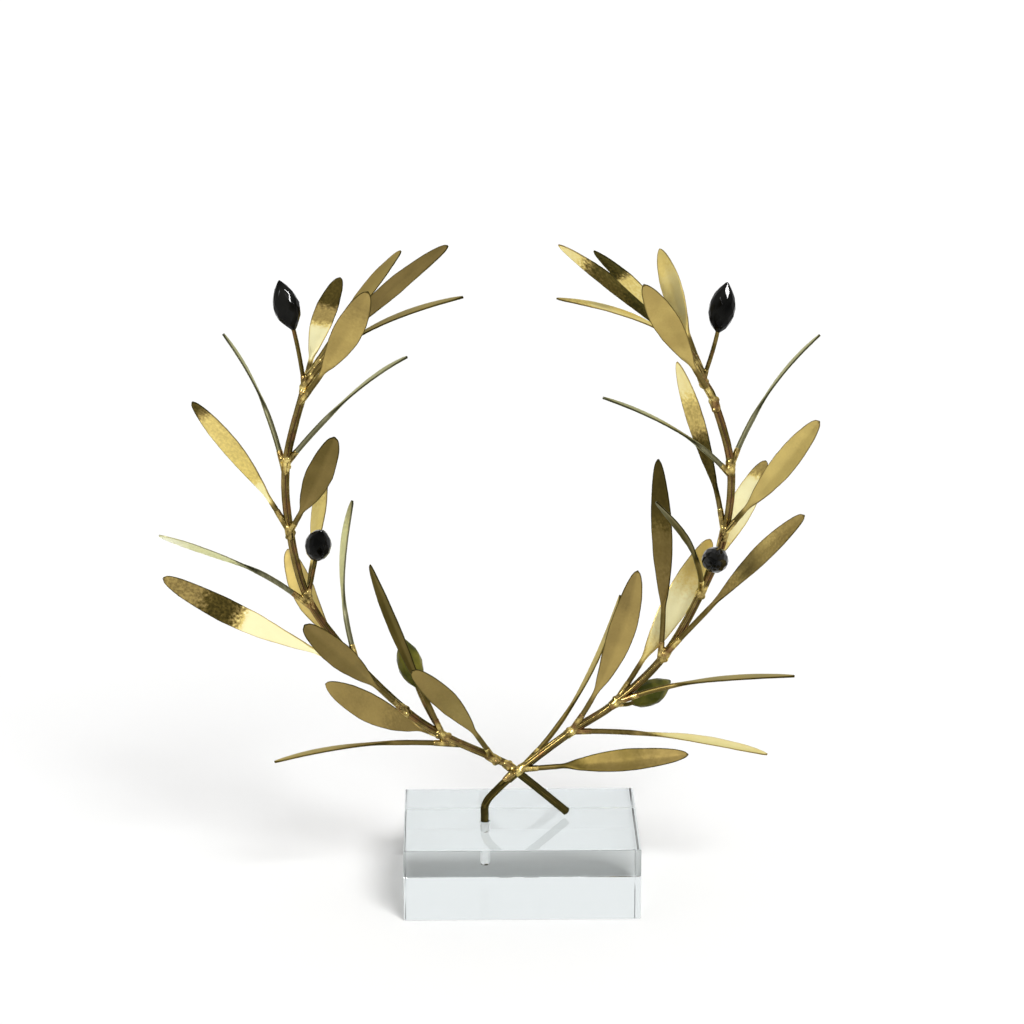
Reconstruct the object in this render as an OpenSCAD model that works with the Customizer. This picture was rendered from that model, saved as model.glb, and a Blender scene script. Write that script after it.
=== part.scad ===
// Olive leaf crown on a clear block stand.
// Two gilt brass olive branches cross at the bottom and curve up round an open middle for the head.
// A branch is a bundle of brazed wires. Leaves and olives grow from beads of braze along it.
// The origin is the centre of the block's underside, with X to the right, Y to the back and Z up.

/* [Block] */
// Width of the clear block
block_w = 80; // [60:1:120]
// Depth of the clear block
block_d = 60; // [40:1:100]
// Height of the clear block
block_h = 25; // [15:1:40]
// Diameter of the drilled hole that holds the bent leg
hole_d = 3.4; // [3.2:0.1:4]
// Depth of the drilled hole
hole_deep = 12.5; // [6:0.5:14]

/* [Branches] */
// Radius of a branch at its lower end
stem_r = 1.5; // [1.2:0.05:1.6]
// Radius of a branch at its upper end
stem_tip_r = 1.45; // [1.2:0.05:1.6]
// Depth of the grooves between the brazed wires, as a share of the radius
groove = 0.07; // [0:0.01:0.12]
// Radius of a brazed bead, as a multiple of the branch's
bead = 1.3; // [1.2:0.05:1.5]
// Steps that shape a branch between two rows of its table
stem_steps = 2; // [2:1:6]

/* [Leaves] */
// Thickness of a blade along its midrib
blade_t = 0.9; // [0.7:0.1:1.2]
// Thickness of a blade at its edges
edge_t = 0.5; // [0.4:0.1:0.7]
// Depth of the fold along the midrib
fold = 0.7; // [0:0.1:1.2]
// Radius of a leaf's wire stalk
wire_r = 0.75; // [0.5:0.05:0.8]
// Gap between a stalk and its brazed seat
seat_gap = 0.15; // [0.1:0.05:0.3]
// Rings that shape a blade
blade_rings = 11; // [8:1:16]

/* [Olives] */
// Length of an olive
olive_len = 18.4; // [14:0.2:20]
// Width of an olive
olive_w = 9; // [7:0.2:10]
// Radius of an olive's wire stalk
olive_wire_r = 0.75; // [0.6:0.05:0.9]
// Depth of the socket in the foot of an olive
socket_deep = 3; // [2:0.5:4]

/* [Hidden] */
FRONT = [0, -1, 0];
leg_end = 0.4 - hole_deep;
leg_x = -12.3;
// Depth of each branch at the crossing, where the right one passes in front
pass = 1.8;

// The left branch from its cut lower end to its tip, one row for each bend or knot.
// Columns: right, back, up from the middle of the block's top.
LEFT_STEM = [
    [16, pass, 1.7],
    [-1.6, pass, 16.7],
    [-9.5, pass, 21.5],
    [-26.6, 1, 30],
    [-39.8, 0, 39.8],
    [-58, 0, 58.9],
    [-71.9, 0, 79.6],
    [-77.6, 0, 103.2],
    [-78.5, 0, 126.6],
    [-71.8, 0, 153],
    [-70.6, 0, 156.6]
];
// Row of the left table above which the wires show their grooves
LEFT_GROOVED = 1;
// Rows of the left table that carry a bead of braze
LEFT_KNOTS = [1.2, 2, 3, 4, 5, 6, 7, 8, 9];

// The right branch from the foot of its leg in the drilled hole to its tip, in the same columns.
RIGHT_STEM = [
    [leg_x, -pass, leg_end],
    [leg_x, -pass, -4],
    [leg_x, -pass, 1.5],
    [-12, -pass, 6],
    [-8.8, -pass, 10.4],
    [0, -pass, 18.7],
    [17.2, -1, 32],
    [32.2, 0, 41.9],
    [48.8, 0, 58.9],
    [61, 0, 81.5],
    [68.4, 0, 101.8],
    [70.1, 0, 125],
    [64.5, 0, 146.7],
    [60.4, 0, 154.9],
    [59.8, 0, 158.4]
];
// Row of the right table above which the wires show their grooves
RIGHT_GROOVED = 5;
// Rows of the right table that carry a bead of braze
RIGHT_KNOTS = [5, 6, 7, 8, 9, 10, 11, 12, 13];

// Columns of the leaf tables. A leaf grows from a place along its branch's table, counted in rows.
SEAT = 0;
// How far the tip lies from the seat: right, back and up
ACROSS = 1;
BACK = 2;
UP = 3;
// Sideways bow to the left of the way the leaf grows, and where along the leaf it is centred
BOW = 4;
BOW_AT = 5;
// Length of the wire stalk and width of the blade
STALK = 6;
WIDTH = 7;
// Turn of the blade about its midrib, at the stalk and at the tip: 0 faces the front, 90 is edge-on
ROLL_ROOT = 8;
ROLL_TIP = 9;

LEFT_LEAVES = [
    [2, -27, -28, 41, -1.5, 0.5, 9, 8.2, 10, 0],
    [3, -24, -8, 63.5, 0.5, 0.5, 8, 7.5, 48, 55],
    [2.95, -41.6, 28, 9.9, 1.3, 0.5, 3, 12, 10, 15],
    [2.65, -63.4, -6.1, -3.9, -2.9, 0.6, 12, 8, 79, 82],
    [4, -32, -30, 40, 0, 0.5, 10, 9, 5, -5],
    [4.85, -1.5, 18, 53, 3.8, 0.55, 10, 7.5, 76, 72],
    [4.75, -67.5, 8, 31, 1, 0.5, 7, 9.2, 20, 0],
    [5.85, -50.1, -12, 29.2, -3, 0.5, 16, 8.5, 63, 58],
    [6, 5, 32, 37, 0, 0.5, 8, 8, 58, 50],
    [7, 16.5, -32, 41, -0.8, 0.4, 8, 9, 5, -5],
    [5, -22, 34, 28, 2.5, 0.5, 6, 9, 15, 10],
    [7, -31, -8, 47, -1.2, 0.5, 4, 8.2, 40, 25],
    [7.88, -20.7, 16, 43.9, -2.6, 0.62, 12, 7.5, 90, 92],
    [8, 41, -10, 39, 2.7, 0.68, 12, 7.5, 88, 88],
    [9, 11.5, 26, 31.5, 1, 0.5, 4, 8, 20, 30],
    [8.75, 23.5, -28, 43.5, -1.2, 0.5, 9, 9.6, 0, 10],
    [9.3, 31.2, 20, 39, 1, 0.5, 9, 8.5, 62, 70],
    [9.3, 47, -2, 45.2, 2.4, 0.45, 10, 8, 50, 55],
    [9, 52.6, -28, 36.6, 5.6, 0.45, 14, 8, 90, 88]
];

RIGHT_LEAVES = [
    [5, 56.7, -8, 7.9, -0.2, 0.4, 9, 7.8, 42, 38],
    [6, 67.5, 4, -10.2, 2.3, 0.5, 16, 8, 92, 84],
    [7, 59.8, -12, 13.2, 2.8, 0.45, 14, 8, 98, 98],
    [6, 21.5, -12, 60.8, -3, 0.5, 8, 9, 15, 10],
    [5, 34.7, 24, 54.7, -4, 0.5, 14, 8, 90, 88],
    [8, 43.8, -26, 56.6, 0.5, 0.6, 15, 7.4, 62, 54],
    [7.9, -1.3, 2, 70.3, -1.3, 0.4, 13, 8.5, 36, 38],
    [7, 32.8, 16, 53.2, -0.8, 0.5, 8, 9.6, 10, 0],
    [9, -17.5, -34, 41, -3, 0.4, 16, 7.5, 62, 66],
    [9, 23.5, 28, 38, 0.5, 0.5, 5, 8.5, 15, 20],
    [10, 29, -20, 44, -0.2, 0.5, 5, 9, 40, 42],
    [10, -16, 10, 57, -1.5, 0.5, 5, 8.5, 55, 42],
    [10.87, -43.9, -20, 32, -3.3, 0.5, 10, 7.5, 88, 90],
    [11, 31, 20, 40.5, 3.2, 0.55, 12, 7.5, 92, 92],
    [13.9, -12.6, 28, 35.4, 0.4, 0.5, 8, 8.5, 30, 35],
    [12.1, -25.3, -32, 46.3, 0, 0.5, 11, 9, 10, 5],
    [13.84, -46.8, 26, 37.4, -2.4, 0.4, 10, 8.5, 50, 44],
    [13.9, -36, -2, 41, -2.6, 0.5, 9, 8.5, 54, 50],
    [13.1, -49.2, -24, 32.7, -7, 0.48, 14, 8, 90, 92]
];

// Columns of the olive tables, after the seat: the foot's place from the seat, the lean to the right of upright
// and the tilt towards the front.
LEAN = 4;
TILT = 5;

LEFT_OLIVES = [
    [3, -8.6, 6, 15, -18, -22],
    [6, 3, -3.5, 15, 10, 42],
    [9, -3.3, 2, 18.7, -15, 5]
];

RIGHT_OLIVES = [
    [7, 5.6, 5.5, -2.4, 71, -34],
    [9, 3.2, -5, 13, 5, 76],
    [13, 4.5, -1, 16, 9, 5]
];

olive_colours = ["darkolivegreen", "#181818", "#181818"];

function unit(v) = v / norm(v);
function mix(a, b, share) = a + (b - a) * share;

// Place on a smooth curve through the rows of a table, counted in rows
function along(rows, u) =
    let (
        i = min(max(floor(u), 0), len(rows) - 2),
        t = u - i,
        a = rows[max(i - 1, 0)],
        b = rows[i],
        c = rows[i + 1],
        d = rows[min(i + 2, len(rows) - 1)]
    )
    b + 0.5 * t * ((c - a) + t * ((2 * a - 5 * b + 4 * c - d) + t * (3 * b - a - 3 * c + d)));

function heading(rows, u) = unit(along(rows, u + 0.02) - along(rows, u - 0.02));

// Directions across a line that runs along t: to its right seen from the front, and towards the front
function right_of(t) = unit(cross(t, FRONT));
function front_of(t) = cross(right_of(t), t);

function stem_radius(rows, u) = mix(stem_r, stem_tip_r, u / (len(rows) - 1));

function bead_radius(rows, u) = bead * stem_radius(rows, u);

// Three brazed wires side by side: a round section with three shallow grooves
function stem_ring(rows, grooved, u) =
    let (
        t = heading(rows, u),
        depth = groove * min(max(u - grooved, 0), 1)
    )
    [for (turn = [0:30:330])
        along(rows, u) + stem_radius(rows, u) * (1 - depth * sin(3 * turn))
            * (cos(turn) * right_of(t) + sin(turn) * front_of(t))];

function tip_of(leaf) = [leaf[ACROSS], leaf[BACK], leaf[UP]];

// Control point of a leaf's curve, from its seat
function bend_of(leaf) =
    let (tip = tip_of(leaf))
    leaf[BOW_AT] * tip + 2 * leaf[BOW] * unit([-tip.z, 0, tip.x]);

// How far from its seat a stalk starts, so that it clears the bead and lies beside the branch
function root_distance(rows, leaf) =
    let (
        way = unit(bend_of(leaf)),
        aside = norm(cross(way, heading(rows, leaf[SEAT])))
    )
    (bead_radius(rows, leaf[SEAT]) + seat_gap + wire_r * sqrt(1 - aside * aside)) / max(aside, 0.4);

function root_of(rows, leaf) = unit(bend_of(leaf)) * root_distance(rows, leaf);

// Place on a leaf's curve from its root, at 0, to its tip, at 1
function leaf_place(rows, leaf, v) =
    (1 - v) * (1 - v) * root_of(rows, leaf) + 2 * v * (1 - v) * bend_of(leaf) + v * v * tip_of(leaf);

function leaf_heading(rows, leaf, v) =
    unit((1 - v) * (bend_of(leaf) - root_of(rows, leaf)) + v * (tip_of(leaf) - bend_of(leaf)));

// Half width of a blade: a long taper from the stalk and a rounded tip, widest beyond the middle
function half_width(leaf, s) = leaf[WIDTH] / 2 * pow(sin(180 * pow(s, 1.35)), mix(0.72, 0.5, s));

// Six corners of a section, as across and towards the face: a round wire, and a blade folded at its midrib
function wire_section() = [for (turn = [30:60:330]) wire_r * [cos(turn), sin(turn)]];

function blade_section(half, lift) = [
    [half, lift + edge_t / 2],
    [0, blade_t / 2],
    [-half, lift + edge_t / 2],
    [-half, lift - edge_t / 2],
    [0, -blade_t / 2],
    [half, lift - edge_t / 2]
];

function leaf_ring(rows, leaf, v, s) =
    let (
        t = leaf_heading(rows, leaf, v),
        roll = mix(leaf[ROLL_ROOT], leaf[ROLL_TIP], s),
        across = cos(roll) * right_of(t) + sin(roll) * front_of(t),
        face = cross(across, t),
        half = max(s > 0 && s < 1 ? half_width(leaf, s) : 0, 0.35),
        section = mix(wire_section(), blade_section(half, fold * 2 * half / leaf[WIDTH]), min(4 * s, 1))
    )
    [for (corner = section)
        leaf_place(rows, leaf, v) + corner.x * across + corner.y * face];

// Two rings on the stalk, then the rings of the blade
function leaf_rings(rows, leaf) =
    let (share = leaf[STALK] / (norm(tip_of(leaf)) - root_distance(rows, leaf)))
    concat(
        [for (v = [0, share / 2]) leaf_ring(rows, leaf, v, 0)],
        [for (k = [0:blade_rings]) leaf_ring(rows, leaf, mix(share, 1, k / blade_rings), k / blade_rings)]
    );

// Skin over a row of rings that have the same number of corners
module sweep(rings) {
    n = len(rings[0]);
    last = len(rings) - 1;
    skin = [for (k = [0:last - 1], i = [0:n - 1])
        let (a = k * n + i, b = k * n + (i + 1) % n)
        each [[a, b, b + n], [a, b + n, a + n]]];
    foot = [for (i = [n - 1:-1:0]) i];
    head = [for (i = [0:n - 1]) last * n + i];
    polyhedron(points = [for (ring = rings) each ring], faces = concat([foot], skin, [head]));
}

module ball(place, r, sides = 6) {
    translate(place) sphere(r = r, $fn = sides);
}

// Braze drawn out from inside the branch towards a leaf's root, along the leaf's own way
module leaf_seat(rows, leaf) {
    end_r = wire_r + 0.2;
    way = unit(bend_of(leaf));
    translate(along(rows, leaf[SEAT]))
        rotate([0, acos(way.z), atan2(way.y, way.x)])
        hull() {
            ball([0, 0, 0], 0.6 * bead_radius(rows, leaf[SEAT]));
            ball([0, 0, root_distance(rows, leaf) - seat_gap - end_r], end_r);
        }
}

function olive_way(olive) = [
    sin(olive[LEAN]) * cos(olive[TILT]),
    -sin(olive[TILT]),
    cos(olive[LEAN]) * cos(olive[TILT])
];

function olive_foot(rows, olive) = along(rows, olive[SEAT]) + [olive[ACROSS], olive[BACK], olive[UP]];

// The wire from a bead to an olive's foot, then on into its socket
module olive_stalk(rows, olive) {
    seat = along(rows, olive[SEAT]);
    foot = olive_foot(rows, olive);
    bend = foot - 1.2 * olive_way(olive);
    hull() {
        ball(seat, olive_wire_r);
        ball(bend, olive_wire_r);
    }
    hull() {
        ball(bend, olive_wire_r);
        ball(foot + (socket_deep - olive_wire_r - 0.3) * olive_way(olive), olive_wire_r);
    }
}

module branch(rows, grooved, knots, leaves, olives) {
    steps = (len(rows) - 1) * stem_steps;
    color("darkgoldenrod") {
        sweep([for (k = [0:steps]) stem_ring(rows, grooved, k / stem_steps)]);
        for (u = knots) ball(along(rows, u), bead_radius(rows, u), 8);
        for (leaf = leaves) leaf_seat(rows, leaf);
        for (olive = olives) olive_stalk(rows, olive);
    }
}

// The cut end of a wire that lies beside the right branch's leg, with a drop of braze
module wire_end() {
    color("gold") hull() {
        ball([-3.6, -pass - 1.3, 17.3], 0.9);
        ball([-7.2, -pass - 1.3, 13.8], 0.8);
    }
}

module leaf(rows, row) {
    color("goldenrod")
        translate(along(rows, row[SEAT]))
        sweep(leaf_rings(rows, row));
}

// A pointed olive, turned round its own axis, with a blind socket in its foot
module olive_body() {
    foot_r = 1.6;
    outline = [for (s = [0.04:0.12:1])
        [max(olive_w / 2 * pow(sin(180 * pow(s, 0.92)), 0.8), s < 0.5 ? foot_r : 0), olive_len * s]];
    difference() {
        rotate_extrude($fn = 48)
            polygon(concat([[0, 0], [foot_r, 0]], outline, [[0, olive_len]]));
        translate([0, 0, -1])
            cylinder(h = socket_deep + 1, r = olive_wire_r + 0.15, $fn = 24);
    }
}

module olive(rows, row, colour) {
    color(colour)
        translate(olive_foot(rows, row))
        rotate([0, row[LEAN], 0])
        rotate([row[TILT], 0, 0])
        olive_body();
}

module block() {
    color([0.85, 0.93, 0.95, 0.35])
        translate([0, 0, -block_h])
        difference() {
            translate([-block_w / 2, -block_d / 2, 0])
                cube([block_w, block_d, block_h]);
            translate([leg_x, -pass, block_h - hole_deep])
                cylinder(h = hole_deep + 1, d = hole_d, $fn = 48);
        }
}

function names(word, count) = [for (i = [1:count]) str(word, i)];

translate([0, 0, block_h]) {
    block();
    branch(LEFT_STEM, LEFT_GROOVED, LEFT_KNOTS, LEFT_LEAVES, LEFT_OLIVES);  // left_branch
    union() {  // right_branch
        branch(RIGHT_STEM, RIGHT_GROOVED, RIGHT_KNOTS, RIGHT_LEAVES, RIGHT_OLIVES);
        wire_end();
    }
    for (i = [1:len(LEFT_LEAVES)])
        leaf(LEFT_STEM, LEFT_LEAVES[i - 1]);
    for (i = [1:len(RIGHT_LEAVES)])
        leaf(RIGHT_STEM, RIGHT_LEAVES[i - 1]);
    for (i = [1:len(LEFT_OLIVES)])
        olive(LEFT_STEM, LEFT_OLIVES[i - 1], olive_colours[i - 1]);
    for (i = [1:len(RIGHT_OLIVES)])
        olive(RIGHT_STEM, RIGHT_OLIVES[i - 1], olive_colours[i - 1]);
}
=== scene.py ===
# %% [markdown]
# # Olive leaf crown on a clear block
# Two gilt brass olive branches cross at the bottom and curve up round an open middle. Each branch is a
# bundle of wires brazed together, with leaves cut from thin sheet and glossy olives on wire stalks. The
# whole stands in a drilled hole in a clear acrylic block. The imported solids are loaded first, because they
# fix where everything is. Each piece is then made again with the detail that the real one shows.

# %% Load the solids
import math
import random

import bmesh
import bpy
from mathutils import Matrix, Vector


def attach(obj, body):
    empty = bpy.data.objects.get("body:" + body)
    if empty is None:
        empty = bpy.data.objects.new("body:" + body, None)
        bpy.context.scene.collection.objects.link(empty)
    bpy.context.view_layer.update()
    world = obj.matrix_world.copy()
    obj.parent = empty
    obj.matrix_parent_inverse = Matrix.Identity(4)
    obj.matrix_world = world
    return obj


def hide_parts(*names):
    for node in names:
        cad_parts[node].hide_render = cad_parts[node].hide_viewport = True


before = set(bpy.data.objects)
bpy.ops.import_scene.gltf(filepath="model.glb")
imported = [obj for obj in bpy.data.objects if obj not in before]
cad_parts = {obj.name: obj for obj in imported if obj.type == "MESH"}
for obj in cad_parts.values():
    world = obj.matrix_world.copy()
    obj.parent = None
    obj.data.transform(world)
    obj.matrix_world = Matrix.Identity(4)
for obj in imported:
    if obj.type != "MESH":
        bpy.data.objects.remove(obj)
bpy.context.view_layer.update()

MM = 0.001
BLOCK = (80.0, 60.0, 25.0)
HOLE_AT = (-12.3, -1.8)

# %% [markdown]
# ## The tables
# A maker would bend each branch over a drawing and braze the leaves on one by one. The tables below are
# that drawing: they repeat the sizes that the solids were made from, in millimetres from the middle of the
# block's top.

# %% Branch tables: across, back and up of points along the middle, from the cut lower end to the tip
PASS = 1.8
LEFT_STEM = [
    (16, PASS, 1.7), (-1.6, PASS, 16.7), (-9.5, PASS, 21.5), (-26.6, 1, 30), (-39.8, 0, 39.8), (-58, 0, 58.9),
    (-71.9, 0, 79.6), (-77.6, 0, 103.2), (-78.5, 0, 126.6), (-71.8, 0, 153), (-70.6, 0, 156.6),
]
RIGHT_STEM = [
    (-12.3, -PASS, -12.1), (-12.3, -PASS, -4), (-12.3, -PASS, 1.5), (-12, -PASS, 6), (-8.8, -PASS, 10.4),
    (0, -PASS, 18.7), (17.2, -1, 32), (32.2, 0, 41.9), (48.8, 0, 58.9), (61, 0, 81.5), (68.4, 0, 101.8),
    (70.1, 0, 125), (64.5, 0, 146.7), (60.4, 0, 154.9), (59.8, 0, 158.4),
]
STEM_R, STEM_TIP_R, BEAD = 1.5, 1.45, 1.3
WIRE_R, SEAT_GAP, OLIVE_WIRE_R = 0.75, 0.15, 0.75

# %% Leaf tables
# The seat is counted in rows of the branch table. Across, back and up go from the seat to the tip. The bow
# bends the leaf to its left, most at bow_at of the way. Rolls are degrees about the leaf's own length.
LEAF_COLUMNS = ("seat", "across", "back", "up", "bow", "bow_at", "stalk", "width", "roll_root", "roll_tip")
LEFT_LEAVES = [
    (2, -27, -28, 41, -1.5, 0.5, 9, 8.2, 10, 0),
    (3, -24, -8, 63.5, 0.5, 0.5, 8, 7.5, 48, 55),
    (2.95, -41.6, 28, 9.9, 1.3, 0.5, 3, 12, 10, 15),
    (2.65, -63.4, -6.1, -3.9, -2.9, 0.6, 12, 8, 79, 82),
    (4, -32, -30, 40, 0, 0.5, 10, 9, 5, -5),
    (4.85, -1.5, 18, 53, 3.8, 0.55, 10, 7.5, 76, 72),
    (4.75, -67.5, 8, 31, 1, 0.5, 7, 9.2, 20, 0),
    (5.85, -50.1, -12, 29.2, -3, 0.5, 16, 8.5, 63, 58),
    (6, 5, 32, 37, 0, 0.5, 8, 8, 58, 50),
    (7, 16.5, -32, 41, -0.8, 0.4, 8, 9, 5, -5),
    (5, -22, 34, 28, 2.5, 0.5, 6, 9, 15, 10),
    (7, -31, -8, 47, -1.2, 0.5, 4, 8.2, 40, 25),
    (7.88, -20.7, 16, 43.9, -2.6, 0.62, 12, 7.5, 85, 87),
    (8, 41, -10, 39, 2.7, 0.68, 12, 7.5, 93, 93),
    (9, 11.5, 26, 31.5, 1, 0.5, 4, 8, 20, 30),
    (8.75, 23.5, -28, 43.5, -1.2, 0.5, 9, 9.6, 0, 10),
    (9.3, 31.2, 20, 39, 1, 0.5, 9, 8.5, 62, 70),
    (9.3, 47, -2, 45.2, 2.4, 0.45, 10, 8, 50, 55),
    (9, 52.6, -28, 36.6, 5.6, 0.45, 14, 8, 93, 91),
]
RIGHT_LEAVES = [
    (5, 56.7, -8, 7.9, -0.2, 0.4, 9, 7.8, 36, 32),
    (6, 67.5, 4, -10.2, 2.3, 0.5, 16, 8, 94, 87),
    (7, 59.8, -12, 13.2, 2.8, 0.45, 14, 8, 98, 98),
    (6, 21.5, -12, 60.8, -3, 0.5, 8, 9, 15, 10),
    (5, 34.7, 24, 54.7, -4, 0.5, 14, 8, 90, 88),
    (8, 43.8, -26, 56.6, 0.5, 0.6, 15, 7.4, 55, 47),
    (7.9, -1.3, 2, 70.3, -1.3, 0.4, 13, 8.5, 36, 38),
    (7, 32.8, 16, 53.2, -0.8, 0.5, 8, 9.6, 10, 0),
    (9, -17.5, -34, 41, -3, 0.4, 16, 7.5, 62, 66),
    (9, 23.5, 28, 38, 0.5, 0.5, 5, 8.5, 15, 20),
    (10, 29, -20, 44, -0.2, 0.5, 5, 9, 40, 42),
    (10, -16, 10, 57, -1.5, 0.5, 5, 8.5, 55, 42),
    (10.87, -43.9, -20, 32, -3.3, 0.5, 10, 7.5, 83, 85),
    (11, 31, 20, 40.5, 3.2, 0.55, 12, 7.5, 97, 97),
    (13.9, -12.6, 28, 35.4, 0.4, 0.5, 8, 8.5, 30, 35),
    (12.1, -25.3, -32, 46.3, 0, 0.5, 11, 9, 10, 5),
    (13.84, -46.8, 26, 37.4, -2.4, 0.4, 10, 8.5, 50, 44),
    (13.9, -36, -2, 41, -2.6, 0.5, 9, 8.5, 54, 50),
    (13.1, -49.2, -24, 32.7, -7, 0.48, 14, 8, 90, 92),
]

# %% Olive tables
# The seat again, from there to the olive's foot, its lean to the right and its tilt to the front in degrees
OLIVE_COLUMNS = ("seat", "across", "back", "up", "lean", "tilt")
LEFT_OLIVES = [(3, -8.6, 6, 15, -18, -22), (6, 3, -3.5, 15, 10, 42), (9, -3.3, 2, 18.7, -15, 5)]
RIGHT_OLIVES = [(7, 5.6, 5.5, -2.4, 71, -34), (9, 3.2, -5, 13, 5, 76), (13, 4.5, -1, 16, 9, 5)]
OLIVE_LEN, OLIVE_W = 18.4, 9.0


def rows_of(columns, table):
    """Each row of a table as named values."""
    return [dict(zip(columns, row)) for row in table]


SIDES = {
    "left": (LEFT_STEM, rows_of(LEAF_COLUMNS, LEFT_LEAVES), rows_of(OLIVE_COLUMNS, LEFT_OLIVES)),
    "right": (RIGHT_STEM, rows_of(LEAF_COLUMNS, RIGHT_LEAVES), rows_of(OLIVE_COLUMNS, RIGHT_OLIVES)),
}

# %% Places along a branch
FRONT = Vector((0, -1, 0))
TOP = Vector((0, 0, BLOCK[2]))


def along(stem, u):
    """Place on a smooth curve through the points of a branch, counted in rows of its table."""
    i = min(max(math.floor(u), 0), len(stem) - 2)
    t = u - i
    a, b, c, d = (Vector(stem[min(max(i + k, 0), len(stem) - 1)]) for k in (-1, 0, 1, 2))
    return b + 0.5 * t * ((c - a) + t * ((2 * a - 5 * b + 4 * c - d) + t * (3 * b - a - 3 * c + d)))


def heading(stem, u):
    return (along(stem, u + 0.02) - along(stem, u - 0.02)).normalized()


def stem_radius(stem, u):
    return STEM_R + (STEM_TIP_R - STEM_R) * u / (len(stem) - 1)


def leaf_points(stem, leaf):
    """Seat, root, bend and tip of a leaf's curve, in millimetres."""
    seat = along(stem, leaf["seat"])
    tip = Vector((leaf["across"], leaf["back"], leaf["up"]))
    bend = leaf["bow_at"] * tip + 2 * leaf["bow"] * Vector((-tip.z, 0, tip.x)).normalized()
    way = bend.normalized()
    aside = way.cross(heading(stem, leaf["seat"])).length
    bead_radius = BEAD * stem_radius(stem, leaf["seat"])
    reach = bead_radius + SEAT_GAP + WIRE_R * math.sqrt(max(1 - aside * aside, 0))
    root = way * reach / max(aside, 0.4)
    return seat, seat + root, seat + bend, seat + tip


def olive_points(stem, olive):
    """Seat, foot and the way an olive points, in millimetres."""
    seat = along(stem, olive["seat"])
    lean, tilt = math.radians(olive["lean"]), math.radians(olive["tilt"])
    way = Vector((math.sin(lean) * math.cos(tilt), -math.sin(tilt), math.cos(lean) * math.cos(tilt)))
    return seat, seat + Vector((olive["across"], olive["back"], olive["up"])), way


def metres(point):
    """From millimetres over the block's top to the frame's metres over the floor."""
    return (point + TOP) * MM


# %% [markdown]
# ## Small tools for node trees
# A few helpers keep the node trees readable. One adds a node and fills its inputs, some do sums, and one
# grows a piece from a tree and leaves a plain mesh.


# %% Node helpers
def is_socket(value):
    return isinstance(value, bpy.types.NodeSocket)


def tree_of(*values):
    """The node tree that the sockets among some values belong to."""
    return next(value.id_data for value in values if is_socket(value))


def put(value, socket):
    """Feed a socket with another socket or with a plain value."""
    if is_socket(value):
        socket.id_data.links.new(value, socket)
    else:
        socket.default_value = value


def add(tree, kind, fed=None, **settings):
    """A new node with its settings, and its inputs fed by name or by number."""
    made = tree.nodes.new(kind)
    for name, value in settings.items():
        setattr(made, name, value)
    for key, value in (fed or {}).items():
        put(value, made.inputs[key])
    return made


def calc(operation, *values, clamp=False):
    fed = dict(enumerate(values))
    return add(tree_of(*values), "ShaderNodeMath", fed, operation=operation, use_clamp=clamp).outputs[0]


def times(first, *others):
    for other in others:
        first = calc("MULTIPLY", first, other)
    return first


def plus(first, *others):
    for other in others:
        first = calc("ADD", first, other)
    return first


def minus(a, b):
    return calc("SUBTRACT", a, b) if is_socket(a) or is_socket(b) else a - b


def between(share, a, b):
    """Plain mix of two values."""
    return plus(a, times(minus(b, a), share))


def spread(value, low, high, to_low=0.0, to_high=1.0, ease="SMOOTHSTEP"):
    """Map a value from one range to another."""
    fed = dict(enumerate((value, low, high, to_low, to_high)))
    return add(value.id_data, "ShaderNodeMapRange", fed, interpolation_type=ease).outputs["Result"]


def vec(operation, *values):
    fed = dict(enumerate(values))
    return add(tree_of(*values), "ShaderNodeVectorMath", fed, operation=operation).outputs["Vector"]


def scaled(vector, amount):
    fed = {0: vector, "Scale": amount}
    return add(vector.id_data, "ShaderNodeVectorMath", fed, operation="SCALE").outputs["Vector"]


def triple(x, y, z):
    return add(tree_of(x, y, z), "ShaderNodeCombineXYZ", {0: x, 1: y, 2: z}).outputs[0]


def noise_at(where, detail=2.0):
    """Soft noise that changes over about one unit of a place."""
    fed = {"Vector": where, "Scale": 1.0, "Detail": detail}
    return add(where.id_data, "ShaderNodeTexNoise", fed).outputs


# %% Growing a piece from a tree
def new_plan(name, inputs):
    """An empty geometry tree with named inputs, and its input and output nodes."""
    tree = bpy.data.node_groups.new(name, "GeometryNodeTree")
    tree.interface.new_socket("Geometry", in_out="INPUT", socket_type="NodeSocketGeometry")
    for kind, labels in inputs.items():
        for label in labels:
            tree.interface.new_socket(label, in_out="INPUT", socket_type="NodeSocket" + kind)
    tree.interface.new_socket("Geometry", in_out="OUTPUT", socket_type="NodeSocketGeometry")
    return tree, add(tree, "NodeGroupInput").outputs, add(tree, "NodeGroupOutput").inputs["Geometry"]


def kept(geometry, label, value, kind="FLOAT"):
    """Note a value on each point, before the points are copied or swept."""
    made = add(geometry.id_data, "GeometryNodeCaptureAttribute")
    made.capture_items.new(kind, label)
    put(geometry, made.inputs["Geometry"])
    put(value, made.inputs[label])
    return made.outputs["Geometry"], made.outputs[label]


def stored(geometry, label, value):
    """Store a value under a name that a material reads."""
    fed = {"Name": label, "Geometry": geometry, "Value": value}
    made = add(geometry.id_data, "GeometryNodeStoreNamedAttribute", fed, data_type="FLOAT", domain="POINT")
    return made.outputs[0]


def swept(line, ring, size=1.0):
    """A closed skin: a ring carried along a line."""
    fed = {"Curve": line, "Profile Curve": ring, "Scale": size, "Fill Caps": True}
    return add(line.id_data, "GeometryNodeCurveToMesh", fed).outputs[0]


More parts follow.
